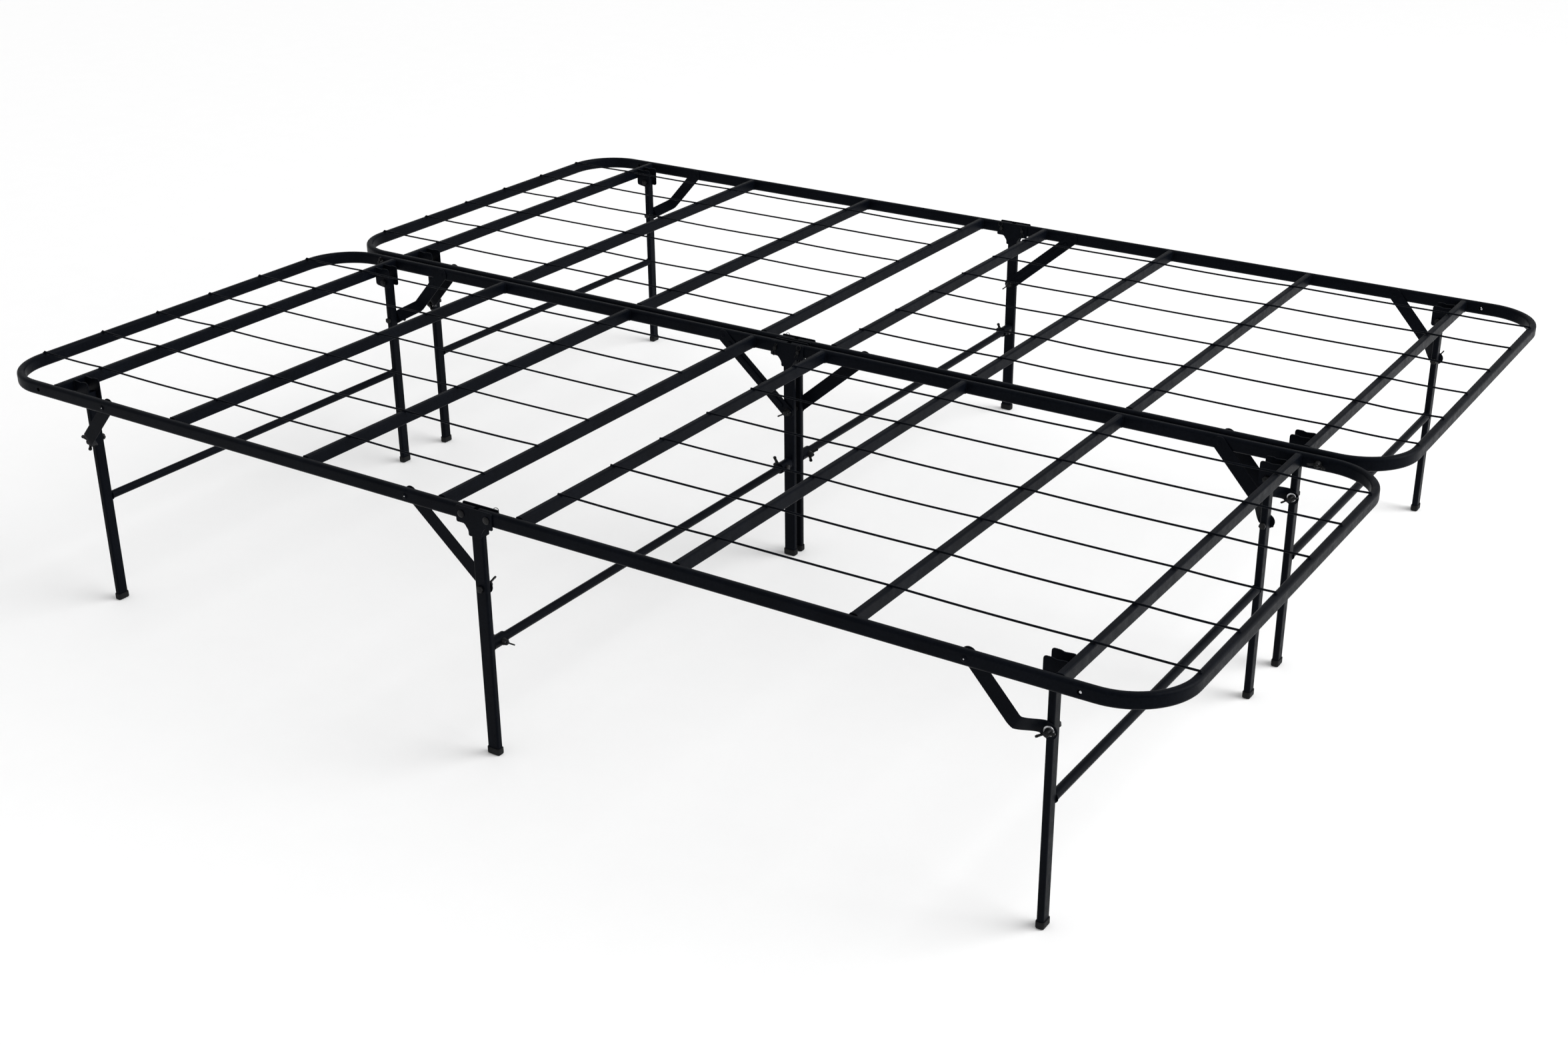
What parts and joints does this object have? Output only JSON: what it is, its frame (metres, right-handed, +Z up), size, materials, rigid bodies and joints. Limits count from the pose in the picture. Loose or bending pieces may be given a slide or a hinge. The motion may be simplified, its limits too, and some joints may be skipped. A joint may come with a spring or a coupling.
{
  "type": "metal bed frame",
  "caption": "Black steel platform bed frame: folding wire decks in rounded tube rails on hinged, braced leg frames, bolted side by side.",
  "frame": {"origin": "middle of the bed on the floor, at the bottom centre of the bounding box", "axes": "+X towards the foot end, +Y towards the right-hand unit, +Z up"},
  "size_m": [2, 1.5788, 0.3838],
  "materials": {
    "black_powder_coat": "satin black powder coat",
    "black_zinc": "black zinc plate",
    "black_plastic": "moulded matte black"
  },
  "bodies": {
    "centre_frame": {"left_centre_stretcher": "black_powder_coat", "left_outer_centre_leg": "black_powder_coat", "left_outer_centre_foot": "black_plastic", "left_head_outer_hinge_pin": "black_zinc", "left_foot_outer_hinge_pin": "black_zinc", "left_inner_centre_leg": "black_powder_coat", "left_inner_centre_foot": "black_plastic", "left_head_inner_hinge_pin": "black_zinc", "left_foot_inner_hinge_pin": "black_zinc", "right_centre_stretcher": "black_powder_coat", "right_outer_centre_leg": "black_powder_coat", "right_outer_centre_foot": "black_plastic", "right_head_outer_hinge_pin": "black_zinc", "right_foot_outer_hinge_pin": "black_zinc", "right_inner_centre_leg": "black_powder_coat", "right_inner_centre_foot": "black_plastic", "right_head_inner_hinge_pin": "black_zinc", "right_foot_inner_hinge_pin": "black_zinc"},
    "left_head_deck": {"left_head_rail": "black_powder_coat", "left_head_end_bar": "black_powder_coat", "left_head_wire_deck": "black_powder_coat", "head_link_bolt": "black_zinc", "head_link_wing_nut": "black_zinc"},
    "left_head_legs": {"left_head_leg_frame": "black_powder_coat", "left_head_outer_foot": "black_plastic", "left_head_inner_foot": "black_plastic"},
    "left_head_outer_brace": {"left_head_outer_brace": "black_powder_coat"},
    "left_head_inner_brace": {"left_head_inner_brace": "black_powder_coat"},
    "left_foot_deck": {"left_foot_rail": "black_powder_coat", "left_foot_end_bar": "black_powder_coat", "left_foot_wire_deck": "black_powder_coat", "foot_link_bolt": "black_zinc", "foot_link_wing_nut": "black_zinc"},
    "left_foot_legs": {"left_foot_leg_frame": "black_powder_coat", "left_foot_outer_foot": "black_plastic", "left_foot_inner_foot": "black_plastic"},
    "left_foot_outer_brace": {"left_foot_outer_brace": "black_powder_coat"},
    "left_foot_inner_brace": {"left_foot_inner_brace": "black_powder_coat"},
    "left_outer_centre_brace": {"left_outer_centre_brace": "black_powder_coat"},
    "left_inner_centre_brace": {"left_inner_centre_brace": "black_powder_coat"},
    "right_head_deck": {"right_head_rail": "black_powder_coat", "right_head_end_bar": "black_powder_coat", "right_head_wire_deck": "black_powder_coat"},
    "right_head_legs": {"right_head_leg_frame": "black_powder_coat", "right_head_outer_foot": "black_plastic", "right_head_inner_foot": "black_plastic"},
    "right_head_outer_brace": {"right_head_outer_brace": "black_powder_coat"},
    "right_head_inner_brace": {"right_head_inner_brace": "black_powder_coat"},
    "right_foot_deck": {"right_foot_rail": "black_powder_coat", "right_foot_end_bar": "black_powder_coat", "right_foot_wire_deck": "black_powder_coat"},
    "right_foot_legs": {"right_foot_leg_frame": "black_powder_coat", "right_foot_outer_foot": "black_plastic", "right_foot_inner_foot": "black_plastic"},
    "right_foot_outer_brace": {"right_foot_outer_brace": "black_powder_coat"},
    "right_foot_inner_brace": {"right_foot_inner_brace": "black_powder_coat"},
    "right_outer_centre_brace": {"right_outer_centre_brace": "black_powder_coat"},
    "right_inner_centre_brace": {"right_inner_centre_brace": "black_powder_coat"}
  },
  "joints": [
    {"name": "left_head_fold", "type": "hinge", "parent": "centre_frame", "child": "left_head_deck", "pos_m": [-0.022, -0.39487, 0.37], "axis": [0, -1, 0], "range_deg": [0, 86]},
    {"name": "left_head_leg_fold", "type": "hinge", "parent": "left_head_deck", "child": "left_head_legs", "pos_m": [-0.836, -0.39487, 0.354], "axis": [0, -1, 0], "range_deg": [0, 90]},
    {"name": "left_head_outer_brace_swing", "type": "hinge", "parent": "left_head_deck", "child": "left_head_outer_brace", "pos_m": [-0.743, -0.7727, 0.37], "axis": [0, -1, 0], "range_deg": [0, 117]},
    {"name": "left_head_inner_brace_swing", "type": "hinge", "parent": "left_head_deck", "child": "left_head_inner_brace", "pos_m": [-0.743, -0.01705, 0.37], "axis": [0, -1, 0], "range_deg": [0, 117]},
    {"name": "left_foot_fold", "type": "hinge", "parent": "centre_frame", "child": "left_foot_deck", "pos_m": [0.022, -0.39487, 0.37], "axis": [0, 1, 0], "range_deg": [0, 86]},
    {"name": "left_foot_leg_fold", "type": "hinge", "parent": "left_foot_deck", "child": "left_foot_legs", "pos_m": [0.836, -0.39487, 0.354], "axis": [0, 1, 0], "range_deg": [0, 90]},
    {"name": "left_foot_outer_brace_swing", "type": "hinge", "parent": "left_foot_deck", "child": "left_foot_outer_brace", "pos_m": [0.743, -0.7727, 0.37], "axis": [0, 1, 0], "range_deg": [0, 117]},
    {"name": "left_foot_inner_brace_swing", "type": "hinge", "parent": "left_foot_deck", "child": "left_foot_inner_brace", "pos_m": [0.743, -0.01705, 0.37], "axis": [0, 1, 0], "range_deg": [0, 117]},
    {"name": "left_outer_centre_brace_swing", "type": "hinge", "parent": "left_head_deck", "child": "left_outer_centre_brace", "pos_m": [-0.126, -0.7727, 0.37], "axis": [0, 1, 0], "range_deg": [0, 136]},
    {"name": "left_inner_centre_brace_swing", "type": "hinge", "parent": "left_head_deck", "child": "left_inner_centre_brace", "pos_m": [-0.126, -0.01705, 0.37], "axis": [0, 1, 0], "range_deg": [0, 136]},
    {"name": "right_head_fold", "type": "hinge", "parent": "centre_frame", "child": "right_head_deck", "pos_m": [-0.022, 0.39487, 0.37], "axis": [0, -1, 0], "range_deg": [0, 86]},
    {"name": "right_head_leg_fold", "type": "hinge", "parent": "right_head_deck", "child": "right_head_legs", "pos_m": [-0.836, 0.39487, 0.354], "axis": [0, -1, 0], "range_deg": [0, 90]},
    {"name": "right_head_outer_brace_swing", "type": "hinge", "parent": "right_head_deck", "child": "right_head_outer_brace", "pos_m": [-0.743, 0.7727, 0.37], "axis": [0, -1, 0], "range_deg": [0, 117]},
    {"name": "right_head_inner_brace_swing", "type": "hinge", "parent": "right_head_deck", "child": "right_head_inner_brace", "pos_m": [-0.743, 0.01705, 0.37], "axis": [0, -1, 0], "range_deg": [0, 117]},
    {"name": "right_foot_fold", "type": "hinge", "parent": "centre_frame", "child": "right_foot_deck", "pos_m": [0.022, 0.39487, 0.37], "axis": [0, 1, 0], "range_deg": [0, 86]},
    {"name": "right_foot_leg_fold", "type": "hinge", "parent": "right_foot_deck", "child": "right_foot_legs", "pos_m": [0.836, 0.39487, 0.354], "axis": [0, 1, 0], "range_deg": [0, 90]},
    {"name": "right_foot_outer_brace_swing", "type": "hinge", "parent": "right_foot_deck", "child": "right_foot_outer_brace", "pos_m": [0.743, 0.7727, 0.37], "axis": [0, 1, 0], "range_deg": [0, 117]},
    {"name": "right_foot_inner_brace_swing", "type": "hinge", "parent": "right_foot_deck", "child": "right_foot_inner_brace", "pos_m": [0.743, 0.01705, 0.37], "axis": [0, 1, 0], "range_deg": [0, 117]},
    {"name": "right_outer_centre_brace_swing", "type": "hinge", "parent": "right_foot_deck", "child": "right_outer_centre_brace", "pos_m": [0.126, 0.7727, 0.37], "axis": [0, -1, 0], "range_deg": [0, 136]},
    {"name": "right_inner_centre_brace_swing", "type": "hinge", "parent": "right_foot_deck", "child": "right_inner_centre_brace", "pos_m": [0.126, 0.01705, 0.37], "axis": [0, -1, 0], "range_deg": [0, 136]}
  ],
  "couplings": [
    {"joint": "left_head_outer_brace_swing", "follows": "left_head_leg_fold", "ratio": 1.3},
    {"joint": "left_head_inner_brace_swing", "follows": "left_head_leg_fold", "ratio": 1.3},
    {"joint": "left_foot_outer_brace_swing", "follows": "left_foot_leg_fold", "ratio": 1.3},
    {"joint": "left_foot_inner_brace_swing", "follows": "left_foot_leg_fold", "ratio": 1.3},
    {"joint": "left_outer_centre_brace_swing", "follows": "left_head_fold", "ratio": 1.575},
    {"joint": "left_inner_centre_brace_swing", "follows": "left_head_fold", "ratio": 1.575},
    {"joint": "right_head_fold", "follows": "left_head_fold", "ratio": 1},
    {"joint": "right_head_outer_brace_swing", "follows": "right_head_leg_fold", "ratio": 1.3},
    {"joint": "right_head_inner_brace_swing", "follows": "right_head_leg_fold", "ratio": 1.3},
    {"joint": "right_foot_fold", "follows": "left_foot_fold", "ratio": 1},
    {"joint": "right_foot_outer_brace_swing", "follows": "right_foot_leg_fold", "ratio": 1.3},
    {"joint": "right_foot_inner_brace_swing", "follows": "right_foot_leg_fold", "ratio": 1.3},
    {"joint": "right_outer_centre_brace_swing", "follows": "left_foot_fold", "ratio": 1.575},
    {"joint": "right_inner_centre_brace_swing", "follows": "left_foot_fold", "ratio": 1.575}
  ]
}
